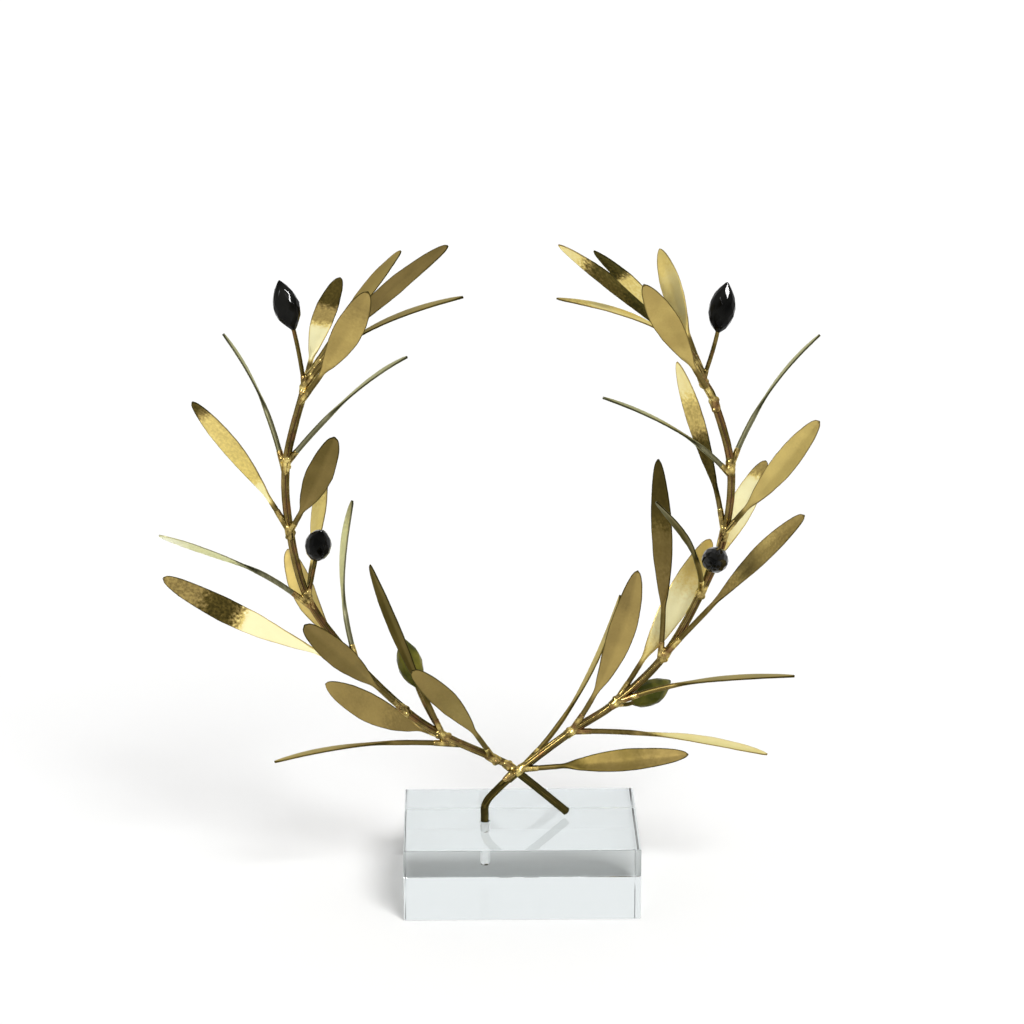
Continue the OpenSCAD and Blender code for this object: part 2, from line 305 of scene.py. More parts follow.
def finish_plan(geometry, material, output):
    """Every tree ends in real geometry that wears its material."""
    tree = geometry.id_data
    real = add(tree, "GeometryNodeRealizeInstances", {0: geometry})
    smooth = add(tree, "GeometryNodeSetShadeSmooth", {"Geometry": real.outputs[0]})
    dressed = add(tree, "GeometryNodeSetMaterial", {"Geometry": smooth.outputs[0], "Material": material})
    put(dressed.outputs[0], output)


def show(name, data):
    """A new object in the scene, made of a mesh, a light or a camera."""
    made = bpy.data.objects.new(name, data)
    bpy.context.scene.collection.objects.link(made)
    return made


def plain_mesh(piece, name):
    """The evaluated shape of a piece, as a mesh of its own. The piece's modifiers are dropped."""
    graph = bpy.context.evaluated_depsgraph_get()
    shape = piece.evaluated_get(graph)
    mesh = bpy.data.meshes.new_from_object(shape, preserve_all_data_layers=True, depsgraph=graph)
    mesh.name = name
    piece.modifiers.clear()
    return mesh


def grow(name, plan, values, base=None):
    """Run a geometry tree with the given inputs and keep its result as a plain mesh."""
    holder = show(name + "_plan", base or bpy.data.meshes.new(name + "_base"))
    modifier = holder.modifiers.new("plan", "NODES")
    modifier.node_group = plan
    for item in plan.interface.items_tree:
        if item.in_out == "INPUT" and item.name in values:
            modifier[item.identifier] = values[item.name]
    mesh = plain_mesh(holder, name)
    bpy.data.objects.remove(holder)
    return show(name, mesh)


def mesh_from(shape, name):
    """Turn a worked shape into a mesh and let go of the shape."""
    mesh = bpy.data.meshes.new(name)
    shape.to_mesh(mesh)
    shape.free()
    return mesh


# %% [markdown]
# ## Finishes
# The real metal is gilt brass. Its tone runs from dark bronze, through khaki and tan, to bright and then pale
# gold. On the leaves the tone is painted light and shade, and the boundary between two tones is speckled. One
# shader group makes the gilt colours from a tone, so leaves, wires and braze belong together.

# %% Shader helpers
# On the leaves the dark end of this scale is painted shade, and the bright and pale end is their painted
# reflection of the lights
GILT_TONES = [
    (0.0, (0.03, 0.024, 0.006)),
    (0.2, (0.1, 0.073, 0.018)),
    (0.4, (0.235, 0.17, 0.058)),
    (0.6, (0.46, 0.34, 0.112)),
    (0.8, (0.84, 0.67, 0.23)),
    (1.0, (1.0, 0.94, 0.56)),
]
BARE_COPPER = (0.2, 0.092, 0.04, 1)
# How many marks of each kind there are to the metre
CLOUDS, BLUSHES, FLECKS, GRAINS, PITS = 130.0, 230.0, 950.0, 1500.0, 2600.0


def new_material(name, **inputs):
    """A material, its tree and its shader, with the plain inputs of the shader set."""
    material = bpy.data.materials.new(name)
    material.use_nodes = True
    shader = material.node_tree.nodes["Principled BSDF"]
    for label, value in inputs.items():
        shader.inputs[label.replace("_", " ")].default_value = value
    return material, material.node_tree, shader


def ramp(value, stops):
    """Colours along a scale."""
    made = add(value.id_data, "ShaderNodeValToRGB", {0: value})
    while len(made.color_ramp.elements) < len(stops):
        made.color_ramp.elements.new(0.5)
    for element, (place, colour) in zip(made.color_ramp.elements, stops):
        element.position = place
        element.color = (*colour, 1)
    return made.outputs[0]


def object_place(tree):
    return add(tree, "ShaderNodeTexCoord").outputs["Object"]


def speckle(tree, scale, detail=2.0):
    """Fine noise on the piece's own coordinates, in marks to the metre."""
    fed = {"Vector": object_place(tree), "Scale": scale, "Detail": detail}
    return add(tree, "ShaderNodeTexNoise", fed).outputs["Fac"]


def own_value(tree, label):
    """A value that the piece carries under a name."""
    return add(tree, "ShaderNodeAttribute", attribute_name=label).outputs["Fac"]


def bumped(height, strength, distance, shader):
    """Relief of some height in millimetres under the finish."""
    fed = {"Strength": strength, "Distance": distance * MM, "Height": height}
    put(add(height.id_data, "ShaderNodeBump", fed).outputs[0], shader.inputs["Normal"])


# %% Gilt shader group
def build_gilt():
    """Tone in, and gilt colour, roughness and relief out, with pitting and stains."""
    tree = bpy.data.node_groups.new("gilt", "ShaderNodeTree")
    for label, start in (("Tone", 0.6), ("Speckle", 0.2), ("Mottle", 0.0), ("Polish", 0.3)):
        tree.interface.new_socket(label, in_out="INPUT", socket_type="NodeSocketFloat").default_value = start
    for label, kind in (("Color", "Color"), ("Roughness", "Float"), ("Height", "Float")):
        tree.interface.new_socket(label, in_out="OUTPUT", socket_type="NodeSocket" + kind)
    given, out = add(tree, "NodeGroupInput").outputs, add(tree, "NodeGroupOutput").inputs
    fine = speckle(tree, GRAINS)
    broad = minus(speckle(tree, CLOUDS, 3.0), 0.5)
    pits = spread(speckle(tree, PITS, 1.0), 0.28, 0.45)
    grain = times(minus(fine, 0.5), given["Speckle"])
    cloud = times(broad, times(given["Speckle"], 0.6))
    flecks = times(minus(speckle(tree, FLECKS, 3.0), 0.5), times(given["Mottle"], 2.4))
    tone = calc("ADD", given["Tone"], plus(flecks, plus(grain, cloud)), clamp=True)
    put(ramp(tone, GILT_TONES), out["Color"])
    put(plus(given["Polish"], times(broad, 0.16)), out["Roughness"])
    put(plus(times(pits, 0.5), times(fine, 0.5)), out["Height"])
    return tree


GILT = build_gilt()


def gilt_material(name, speckles=0.2, polish=0.3, bump=0.02, edge=0.0, patches=None, blush=0.0, tone=None,
                  paint_room_reflection=False):
    """A gilt metal. Its tone is a number, or else the piece's own. Patches are broader stains: how many to
    the metre and how strong. Blush is how much bare copper shows through. With the painted room reflection
    on, the gold is turned towards the greenish grey that a thin leaf shows where it mirrors a white room: a
    painted reflection."""
    material, tree, shader = new_material(name, Metallic=1.0, Specular_Tint=(0.74, 0.75, 0.56, 1))
    group = add(tree, "ShaderNodeGroup", node_tree=GILT)
    put(speckles, group.inputs["Speckle"])
    put(polish, group.inputs["Polish"])
    if tone is None:
        # on a leaf the piece's own tone is painted light and shade; on a wire it is the wire's own tone
        tone = own_value(tree, "tone")
        if edge:
            tone = minus(tone, times(own_value(tree, "rim"), edge))
        put(own_value(tree, "mottle"), group.inputs["Mottle"])
    if patches:
        count, strength = patches
        tone = plus(tone, times(minus(speckle(tree, count), 0.5), strength))
    put(tone, group.inputs["Tone"])
    bumped(group.outputs["Height"], 0.5, bump, shader)
    colour = group.outputs["Color"]
    if blush:
        showing = spread(speckle(tree, BLUSHES), 0.5, 0.66, 0.0, blush)
        fed = {"Factor": showing, 6: colour, 7: BARE_COPPER}
        colour = add(tree, "ShaderNodeMix", fed, data_type="RGBA").outputs[2]
    # painted reflection: the colour is turned towards the greenish grey of a leaf that mirrors a white room
    if paint_room_reflection:
        fed = {"Hue": 0.545, "Saturation": 0.6, "Value": 1.1, "Color": colour}
        colour = add(tree, "ShaderNodeHueSaturation", fed).outputs[0]
    put(colour, shader.inputs["Base Color"])
    put(group.outputs["Roughness"], shader.inputs["Roughness"])
    return material


# %% The metal finishes
THIN_SHEET = {"speckles": 0.04, "polish": 0.4, "bump": 0.01, "edge": 0.45, "patches": (80.0, 0.2)}
LEAF_GILT = gilt_material("leaf_gilt_sheet", **THIN_SHEET)
ROOM_REFLECTION_GILT = gilt_material("leaf_gilt_painted_room_reflection", paint_room_reflection=True, **THIN_SHEET)
WIRE_GILT = gilt_material("wire_gilt", speckles=0.25, polish=0.17, bump=0.03, patches=(160.0, 0.6),
                          blush=0.55)
ROD_BRONZE = gilt_material("rod_dark_bronze", speckles=0.15, polish=0.11, bump=0.02, patches=(200.0, 0.2))
BRAZE_GOLD = gilt_material("braze_gold", tone=0.5, speckles=0.3, polish=0.2, bump=0.04, patches=(420.0, 1.4),
                           blush=0.6)
GROOVE_BROWN = new_material("groove_red_brown", Base_Color=(0.06, 0.026, 0.01, 1), Roughness=0.5,
                            Specular_IOR_Level=0.2)[0]


# %% Lacquer and acrylic
def olive_material(name, colour, deep):
    """Glossy lacquer with faint clouds under it."""
    material, tree, shader = new_material(name, Specular_IOR_Level=0.05, IOR=1.5)
    put(ramp(speckle(tree, 170.0, 1.5), [(0.35, deep), (0.7, colour)]), shader.inputs["Base Color"])
    put(spread(speckle(tree, 420.0), 0.3, 0.7, 0.05, 0.1), shader.inputs["Roughness"])
    bumped(speckle(tree, 330.0), 0.35, 0.06, shader)
    return material


BLACK_OLIVE = olive_material("black_olive_gloss", (0.009, 0.009, 0.008), (0.0005, 0.0005, 0.0003))
GREEN_OLIVE = olive_material("green_olive_gloss", (0.15, 0.135, 0.022), (0.04, 0.044, 0.006))


def acrylic(name, roughness, colour, clear):
    return new_material(name, Base_Color=colour, Transmission_Weight=clear, IOR=1.49, Roughness=roughness)[0]


CLEAR_ACRYLIC = acrylic("clear_acrylic", 0.0, (0.84, 0.885, 0.89, 1), 1.0)
DRILLED_ACRYLIC = acrylic("drilled_acrylic", 0.6, (0.97, 0.975, 0.97, 1), 0.2)
print("finishes", [material.name for material in bpy.data.materials])

# %% [markdown]
# ## Leaves
# A real leaf here is a blade cut from thin sheet, folded a little along its midrib, twisted, and brazed to
# a wire stalk. Every leaf follows the same rule with its own numbers, so one Geometry Nodes tree makes them
# all: it sweeps a ring along a curve, and turns the ring from a round wire into a thin folded blade. The
# tree also stores the painted light and shade at each point, as a tone for the material to read.

# %% The leaf's line and its ring
RINGS, RING_CORNERS = 84, 32
STALK_R, FULLNESS, BELLY = 0.92, 0.72, 1.35
PAINTED_TONE_COLUMNS = ("Tone Stalk", "Tone Middle", "Tone Tip", "First Change", "Second Change", "Change Length",
                "Tone Split")
LEAF_INPUTS = {
    "Vector": ("Root", "Bend", "Tip"),
    "Float": ("Root Reach", "Stalk Share", "Width", "Sheet", "Fold", "Cup", "Curl", "Hammering", "Roll Root",
              "Roll Tip", "Tip Fullness", "Seed", *PAINTED_TONE_COLUMNS),
    "Material": ("Material",),
}


def leaf_skin(tree):
    """A tube of rings. Each point knows how far along the tube and round the ring it is."""
    line = add(tree, "GeometryNodeCurvePrimitiveLine").outputs[0]
    rings = add(tree, "GeometryNodeResampleCurve", {"Count": RINGS, "Curve": line}).outputs[0]
    circle = add(tree, "GeometryNodeCurvePrimitiveCircle", {"Resolution": RING_CORNERS}).outputs["Curve"]
    index = add(tree, "GeometryNodeInputIndex").outputs[0]
    rings, far = kept(rings, "far", calc("DIVIDE", index, RINGS - 1.0))
    circle, turn = kept(circle, "turn", times(index, math.tau / RING_CORNERS))
    return swept(rings, circle), far, turn


def leaf_line(given, v, s):
    """Place on the leaf's curve, and the ways across the blade and out of its face."""
    rest = minus(1.0, v)
    bend_share = times(2.0, times(v, rest))
    place = vec("ADD", scaled(given["Root"], times(rest, rest)), scaled(given["Bend"], bend_share))
    place = vec("ADD", place, scaled(given["Tip"], times(v, v)))
    way = vec("ADD", scaled(vec("SUBTRACT", given["Bend"], given["Root"]), rest),
              scaled(vec("SUBTRACT", given["Tip"], given["Bend"]), v))
    way = vec("NORMALIZE", way)
    right = vec("NORMALIZE", vec("CROSS_PRODUCT", way, tuple(FRONT)))
    front = vec("CROSS_PRODUCT", right, way)
    roll = between(s, given["Roll Root"], given["Roll Tip"])
    across = vec("ADD", scaled(right, calc("COSINE", roll)), scaled(front, calc("SINE", roll)))
    return place, across, vec("CROSS_PRODUCT", across, way)


def leaf_half_width(given, side, v, s):
    """Half the blade's width from stalk to tip, smooth and then with an uneven cut edge."""
    swell = calc("POWER", calc("MINIMUM", s, 0.9995), BELLY)
    swell = calc("MAXIMUM", calc("SINE", times(math.pi, swell)), 0.0)
    fullness = between(spread(s, 0.5, 1.0), FULLNESS, given["Tip Fullness"])
    half = times(given["Width"], 0.5, calc("POWER", swell, fullness))
    narrowest = times(spread(s, 0.93, 1.0, 0.35, 0.12), MM)
    half = calc("MAXIMUM", half, narrowest)
    edge_wave = noise_at(triple(times(v, 7.0), plus(given["Seed"], calc("SIGN", side)), 3.1))["Fac"]
    return half, times(half, plus(1.0, times(minus(edge_wave, 0.5), 0.14)))


def leaf_ring(given, turn, v, s):
    """Where each point of the ring goes: a round wire on the stalk, a thin folded sheet on the blade."""
    side = calc("COSINE", turn)
    lift = times(calc("SINE", turn), -1.0)
    from_midrib = calc("ABSOLUTE", side)
    smooth_half, half = leaf_half_width(given, side, v, s)
    dents = triple(times(side, times(smooth_half, 160.0)), times(v, 9.0), given["Seed"])
    hammer = times(minus(noise_at(dents, 2.5)["Fac"], 0.5), given["Hammering"])
    flatness = calc("POWER", calc("ABSOLUTE", lift), 0.45)
    sheet = times(calc("SIGN", lift), flatness, times(given["Sheet"], 0.5))
    size = calc("DIVIDE", times(half, 2.0), given["Width"])
    fold = times(given["Fold"], size, calc("SMOOTH_MAX", from_midrib, 0.0, 0.12))
    cup = times(given["Cup"], size, times(from_midrib, from_midrib))
    blade = spread(s, 0.0, 0.2)
    thinned = spread(s, 0.0, 0.32)
    x = between(blade, times(side, STALK_R * MM), times(side, half))
    y = between(thinned, times(lift, STALK_R * MM), plus(plus(sheet, fold), plus(cup, hammer)))
    curl = times(given["Curl"], calc("SINE", times(s, math.pi)))
    return x, plus(y, curl), side, times(minus(1.0, from_midrib), half), blade


def leaf_painted_tones(given, s, side, to_edge, blade):
    """What the finish reads: the tone, which is painted light and shade, a mask for the cut edge of the
    sheet, and how speckled the tone is where it changes.
    """
    first = spread(s, given["First Change"], plus(given["First Change"], given["Change Length"]))
    second = spread(s, given["Second Change"], plus(given["Second Change"], given["Change Length"]))
    # painted light and shade: the tone is bright where the blade would mirror the lights and dark where it
    # would mirror the dark side of the room
    tone = between(first, given["Tone Stalk"], given["Tone Middle"])
    tone = between(second, tone, given["Tone Tip"])
    tone = between(spread(s, 0.0, 0.08), 0.28, tone)
    # the two halves of the blade get painted tones a step apart
    halves = times(given["Tone Split"], spread(side, -0.12, 0.12, -1.0, 1.0))
    tone = plus(tone, times(halves, blade))
    rim = times(spread(to_edge, 0.35 * MM, 0.12 * MM), blade)
    first_step = calc("ABSOLUTE", minus(given["Tone Middle"], given["Tone Stalk"]))
    second_step = calc("ABSOLUTE", minus(given["Tone Tip"], given["Tone Middle"]))
    # speckle where the painted tone changes from light to shade
    changing = plus(times(first, minus(1.0, first), first_step),
                    times(second, minus(1.0, second), second_step))
    dulled = calc("MULTIPLY", minus(1.0, tone), 3.0, clamp=True)
    mottle = plus(times(changing, 2.6), times(calc("MAXIMUM", first_step, second_step), 0.3, dulled))
    return {"tone": tone, "rim": rim, "mottle": mottle}


# %% The leaf plan
def build_leaf_plan():
    tree, given, output = new_plan("leaf plan", LEAF_INPUTS)
    skin, far, turn = leaf_skin(tree)
    # v is 0 at the root and 1 at the tip, a little below 0 inside the braze, and s runs along the blade alone
    v = between(far, times(given["Root Reach"], -1.0), 1.0)
    s = spread(v, given["Stalk Share"], 1.0, ease="LINEAR")
    place, across, face = leaf_line(given, v, s)
    x, y, side, to_edge, blade = leaf_ring(given, turn, v, s)
    place = vec("ADD", vec("ADD", place, scaled(across, x)), scaled(face, y))
    leaf = add(tree, "GeometryNodeSetPosition", {"Geometry": skin, "Position": place}).outputs[0]
    for label, value in leaf_painted_tones(given, s, side, to_edge, blade).items():
        leaf = stored(leaf, label, value)
    finish_plan(leaf, given["Material"], output)
    return tree


LEAF_PLAN = build_leaf_plan()

# %% [markdown]
# The tones of each leaf were read off. They are painted light and shade: where a blade turns towards the
# lights it is painted bright or pale gold, and where it mirrors the dark side of the studio it is painted
# dark brown. A row gives the tone at the stalk end, in the middle and at the tip, where the two changes
# start, how long they take, and the step between the two halves if there is one.

# %% Painted light and shade of the leaves, in the order of the leaf tables
# Where the two changes start and how long they take, for most leaves
USUAL, SOONER, SPREAD_OUT = (0.2, 0.6, 0.3), (0.1, 0.6, 0.3), (0.1, 0.7, 0.3)
# Painted light and shade of each leaf: tones at stalk, middle and tip, where the changes start, how long they
# take, and the step between the halves
LEFT_PAINTED_TONES = [
    (0.52, 0.45, 0.46, *USUAL),
    (0.24, 0.24, 0.22, 0.2, 0.7, 0.3, 0.04),
    (0.36, 0.46, 0.46, *USUAL),
    (0.45, 0.56, 0.6, *SOONER),
    (0.42, 0.38, 0.36, 0.1, 0.6, 0.25, 0.03),
    (0.55, 0.68, 0.5, *SPREAD_OUT),
    (1.0, 0.15, 0.46, 0.5, 0.7, 0.12),
    (0.25, 0.86, 1.0, *SOONER),
    (0.82, 0.8, 0.6, *USUAL),
    (0.38, 0.34, 0.3, 0.2, 0.55, 0.35, 0.03),
    (0.7, 0.66, 0.66, *USUAL),
    (1.0, 0.75, 0.2, 0.2, 0.84, 0.1),
    (0.4, 0.52, 0.5, *SPREAD_OUT),
    (0.45, 0.55, 0.5, *SPREAD_OUT),
    (1.0, 0.56, 0.13, 0.42, 0.62, 0.12),
    (0.6, 0.58, 0.48, *USUAL, 0.02),
    (0.5, 0.5, 0.5, *USUAL),
    (0.45, 0.4, 0.38, *USUAL, 0.03),
    (0.45, 0.5, 0.5, *USUAL),
]
RIGHT_PAINTED_TONES = [
    (0.2, 0.26, 0.34, *SOONER),
    (0.6, 0.92, 0.85, 0.1, 0.75, 0.2),
    (0.45, 0.5, 0.5, *SPREAD_OUT),
    (0.52, 0.5, 0.46, 0.1, 0.55, 0.3, 0.03),
    (0.4, 0.62, 0.6, *SOONER),
    (0.42, 0.66, 0.5, 0.12, 0.6, 0.3),
    (0.4, 0.3, 0.12, 0.25, 0.55, 0.18),
    (0.82, 0.98, 0.8, 0.12, 0.5, 0.3),
    (0.2, 0.2, 0.18, 0.1, 0.7, 0.2, 0.08),
    (0.84, 0.96, 0.5, 0.2, 0.8, 0.12),
    (0.68, 0.69, 0.66, *SOONER),
    (0.14, 0.68, 0.92, 0.42, 0.68, 0.16),
    (0.42, 0.55, 0.5, *SPREAD_OUT),
    (0.36, 0.5, 0.55, *SOONER),
    (0.8, 0.86, 0.78, 0.1, 0.65, 0.3, 0.02),
    (0.62, 0.64, 0.62, *SOONER),
    (0.04, 0.14, 0.86, 0.45, 0.74, 0.14),
    (0.98, 0.82, 0.06, 0.3, 0.66, 0.1),
    (0.8, 0.88, 0.6, *SPREAD_OUT),
]
PAINTED_TONES_BY_SIDE = {"left": rows_of(PAINTED_TONE_COLUMNS, LEFT_PAINTED_TONES), "right": rows_of(PAINTED_TONE_COLUMNS, RIGHT_PAINTED_TONES)}

# Tips that are blunter or more pointed than most
BLUNT, ROUNDED, POINTED = 0.4, 0.5, 0.6
TIP_SHAPES = {
    "left": {1: BLUNT, 5: BLUNT, 7: 0.45, 10: BLUNT, 18: 0.45, 3: 0.55},
    "right": {6: 0.45, 8: 0.45, 11: 0.45, 12: POINTED, 15: POINTED, 16: 0.55, 17: POINTED, 18: POINTED},
}

# Leaves that stand edge-on to the front, with flat sheet, so that they look like a wire there
EDGE_ON = {"left": {4, 6, 13, 14, 19}, "right": {3, 5, 13, 14}}
# Leaves with a painted reflection of the white room along most of their length
PAINTED_REFLECTION_LEAVES = {"left": {6, 8, 13, 14}, "right": {13, 14}}

# %% Make the leaves
ROOT_IN_BRAZE = 1.6
SHEET, SHEET_EDGE_ON = 0.62, 0.85
FOLD, EDGE_ON_DENTS = 0.3, 0.15
random.seed(7)


def make_leaf(name, leaf, look, points, edge_on, tip_shape, seed, finish):
    """Grow one leaf. Its cup, curl and dents are drawn in that order."""
    _, root, bend, tip = points
    dents = EDGE_ON_DENTS if edge_on else 1.0
    return grow(name, LEAF_PLAN, {
        "Root": metres(root), "Bend": metres(bend), "Tip": metres(tip),
        "Root Reach": ROOT_IN_BRAZE / (2 * max((bend - root).length, 1.0)),
        "Stalk Share": leaf["stalk"] / (tip - root).length,
        "Width": leaf["width"] * MM, "Sheet": (SHEET_EDGE_ON if edge_on else SHEET) * MM,
        "Fold": FOLD * dents * MM, "Cup": random.uniform(0.1, 0.4) * dents * MM,
        "Curl": random.uniform(-0.5, 0.5) * dents * MM, "Hammering": random.uniform(0.2, 0.35) * dents * MM,
        "Roll Root": math.radians(leaf["roll_root"]), "Roll Tip": math.radians(leaf["roll_tip"]),
        "Tip Fullness": tip_shape, "Seed": seed, "Material": finish, **look,
    })


leaves = {}
for side_name, (stem, leaf_rows, _) in SIDES.items():
    for i, (leaf, look) in enumerate(zip(leaf_rows, PAINTED_TONES_BY_SIDE[side_name]), start=1):
        leaves[f"{side_name}_leaf_{i}"] = make_leaf(
            f"{side_name}_gilt_leaf_{i}", leaf, look, leaf_points(stem, leaf), i in EDGE_ON[side_name],
            TIP_SHAPES[side_name].get(i, ROUNDED), 10.0 * i + (0.0 if side_name == "left" else 500.0),
            ROOM_REFLECTION_GILT if i in PAINTED_REFLECTION_LEAVES[side_name] else LEAF_GILT)
print("leaves", len(leaves), "faces each", len(leaves["left_leaf_7"].data.polygons))

# %% [markdown]
# ## Wires and rods
# A branch is three wires laid side by side and brazed. A second Geometry Nodes tree takes the branch's
# line, makes as many copies as there are wires, moves each copy aside and sweeps a circle along it. With
# one wire and no distance the same tree makes the wires' brown core and the olives' stalks.

# %% The wire plan
WIRE_CORNERS = 20
WIRE_INPUTS = {
    "Int": ("Wires",),
    "Float": ("Apart", "Wire Radius", "End Radius", "First Angle", "Twist", "Wobble", "Seed", "Tone",
              "Tone Step"),
    "Material": ("Material",),
}


def build_wire_plan():
    tree, given, output = new_plan("wire plan", WIRE_INPUTS)
    line = add(tree, "GeometryNodeMeshToCurve", {0: given["Geometry"]}).outputs[0]
    line, share = kept(line, "share", add(tree, "GeometryNodeSplineParameter").outputs["Factor"])
    line, way = kept(line, "way", add(tree, "GeometryNodeInputTangent").outputs[0], "VECTOR")
    fed = {"Geometry": line, "Amount": given["Wires"]}
    copies = add(tree, "GeometryNodeDuplicateElements", fed, domain="SPLINE").outputs
    which = copies["Duplicate Index"]
    taper = between(share, 1.0, given["End Radius"])
    drift = noise_at(triple(times(share, 22.0), times(which, 5.0), given["Seed"]))

    # each wire lies at its own angle about the branch's middle, and wanders a little
    angle = plus(given["First Angle"], times(given["Twist"], share))
    angle = plus(angle, calc("DIVIDE", times(which, math.tau), given["Wires"]))
    right = vec("NORMALIZE", vec("CROSS_PRODUCT", way, tuple(FRONT)))
    front = vec("CROSS_PRODUCT", right, way)
    reach = times(given["Apart"], taper)
    aside = vec("ADD", scaled(right, times(reach, calc("COSINE", angle))),
                scaled(front, times(reach, calc("SINE", angle))))
    wander = scaled(vec("SUBTRACT", drift["Color"], (0.5, 0.5, 0.5)), given["Wobble"])
    moved = {"Geometry": copies["Geometry"], "Offset": vec("ADD", aside, wander)}
    lines = add(tree, "GeometryNodeSetPosition", moved).outputs[0]

    circle = add(tree, "GeometryNodeCurvePrimitiveCircle", {"Resolution": WIRE_CORNERS}).outputs["Curve"]
    swell = plus(1.0, times(minus(drift["Fac"], 0.5), 0.16))
    skin = swept(lines, circle, size=times(given["Wire Radius"], taper, swell))
    skin = stored(skin, "tone", plus(given["Tone"], times(which, given["Tone Step"])))
    finish_plan(skin, given["Material"], output)
    return tree


WIRE_PLAN = build_wire_plan()


def line_mesh(name, points):
    """A chain of edges through points in millimetres."""
    mesh = bpy.data.meshes.new(name)
    mesh.from_pydata([metres(point) for point in points], [(i, i + 1) for i in range(len(points) - 1)], [])
    return mesh


def wire(name, points, radius, material, end=1.0, wires=1, apart=0.0, angle=90.0, twist=0.0, wobble=0.05,
         seed=1.0, tone=0.32, tone_step=0.0):
    """One wire, or several side by side. End is the share of the radius that is left at the tip."""
    return grow(name, WIRE_PLAN, {
        "Wires": wires, "Apart": apart * MM, "Wire Radius": radius * MM, "End Radius": end,
        "First Angle": math.radians(angle), "Twist": math.radians(twist), "Wobble": wobble * MM, "Seed": seed,
        "Tone": tone, "Tone Step": tone_step, "Material": material,
    }, line_mesh(name + "_line", points))


def stem_line(stem, first, last, step=0.8):
    """Points along a branch from one row to another, about a step apart."""
    points, u = [along(stem, first)], first
    while u < last:
        slope = max((along(stem, min(u + 0.02, last)) - along(stem, u)).length / 0.02, 1e-3)
        u = min(u + step / slope, last)
        points.append(along(stem, u))
    return points


# %% Branch wires and rods
GROOVED_FROM = {"left": 0.95, "right": 4.6}
ROD_OVERLAP = 0.25
branch_parts = {"left": [], "right": []}
for side_name, (stem, _, _) in SIDES.items():
    start = GROOVED_FROM[side_name]
    upper = stem_line(stem, start, len(stem) - 1)
    lower = stem_line(stem, 0.0, start + ROD_OVERLAP)
    r0 = stem_radius(stem, start)
    taper = STEM_TIP_R / r0
    branch_parts[side_name] += [
        wire(f"{side_name}_branch_wires", upper, 0.52 * r0, WIRE_GILT, end=taper, wires=3, apart=0.52 * r0,
             angle=100, twist=40, wobble=0.18, seed=3.0, tone=0.34, tone_step=-0.07),
        wire(f"{side_name}_branch_core", upper, 0.66 * r0, GROOVE_BROWN, end=taper),
        wire(f"{side_name}_branch_rod", lower, 0.53 * STEM_R, ROD_BRONZE, wires=3, apart=0.47 * STEM_R,
             angle=75, wobble=0.08, seed=5.0, tone=0.12, tone_step=-0.05),
        wire(f"{side_name}_rod_core", lower, 0.7 * STEM_R, ROD_BRONZE, tone=0.03),
    ]
print("branch wires", [piece.name for parts in branch_parts.values() for piece in parts])


# %% Olive stalks
def smooth_line(points, count=14):
    """A soft curve through three points."""
    a, b, c = points
    shares = [k / (count - 1) for k in range(count)]
    return [(1 - t) ** 2 * a + 2 * t * (1 - t) * b + t * t * c for t in shares]


def stalk_points(stem, olive):
    """A stalk leaves its bead, bends, and comes up into the olive's foot along its middle."""
    seat, foot, way = olive_points(stem, olive)
    return seat, foot - min(5.0, 0.3 * (foot - seat).length) * way, foot + 2.2 * way


for side_name, (stem, _, olive_rows) in SIDES.items():
    for i, olive in enumerate(olive_rows, start=1):
        branch_parts[side_name].append(wire(
            f"{side_name}_olive_stalk_{i}", smooth_line(stalk_points(stem, olive)), OLIVE_WIRE_R, WIRE_GILT,
            end=0.95, wobble=0.1, seed=float(i), tone=0.2))

# %% The wire end beside the leg
WIRE_END = [(-3.6, -PASS - 1.3, 17.3), (-5.4, -PASS - 1.4, 15.6), (-7.2, -PASS - 1.3, 13.8)]
stub = [Vector(point) for point in WIRE_END]
branch_parts["right"].append(wire("right_wire_end", stub, 0.72, ROD_BRONZE, wobble=0.0, tone=0.2))

# %% [markdown]
# ## Braze
# Braze runs round each knot as shiny lumps and up each stalk as a short sleeve, with soft fillets between.
# Points with a radius are laid where the metal would gather, and a Geometry Nodes tree turns them into one
# skin through a volume, which melts neighbours together as real braze does.


# %% The braze plan
def build_braze_plan():
    tree, given, output = new_plan("braze plan", {"Float": ("Grain",), "Material": ("Material",)})
    size = add(tree, "GeometryNodeInputNamedAttribute", {"Name": "drop"}, data_type="FLOAT").outputs[0]
    drops = add(tree, "GeometryNodeMeshToPoints", {0: given["Geometry"], "Radius": size}).outputs[0]
    fed = {"Points": drops, "Voxel Size": given["Grain"], "Radius": size}
    cloud = add(tree, "GeometryNodePointsToSDFGrid", fed).outputs[0]
    skin = add(tree, "GeometryNodeGridToMesh", {"Threshold": 0.0, "Grid": cloud}).outputs[0]
    soften = add(tree, "GeometryNodeBlurAttribute", {"Iterations": 3}, data_type="FLOAT_VECTOR")
    place = add(tree, "GeometryNodeInputPosition").outputs[0]
    put(place, next(socket for socket in soften.inputs if socket.enabled and socket.name == "Value"))
    softened = next(socket for socket in soften.outputs if socket.enabled)
    melted = add(tree, "GeometryNodeSetPosition", {"Geometry": skin, "Position": softened}).outputs[0]
    finish_plan(melted, given["Material"], output)
    return tree


BRAZE_PLAN = build_braze_plan()
BRAZE_GRAIN = 0.2


def drop_mesh(name, drops):
    """Points with a radius each, in millimetres."""
    mesh = bpy.data.meshes.new(name)
    mesh.from_pydata([metres(point) for point, _ in drops], [], [])
    sizes = mesh.attributes.new("drop", "FLOAT", "POINT")
    sizes.data.foreach_set("value", [radius * MM for _, radius in drops])
    return mesh


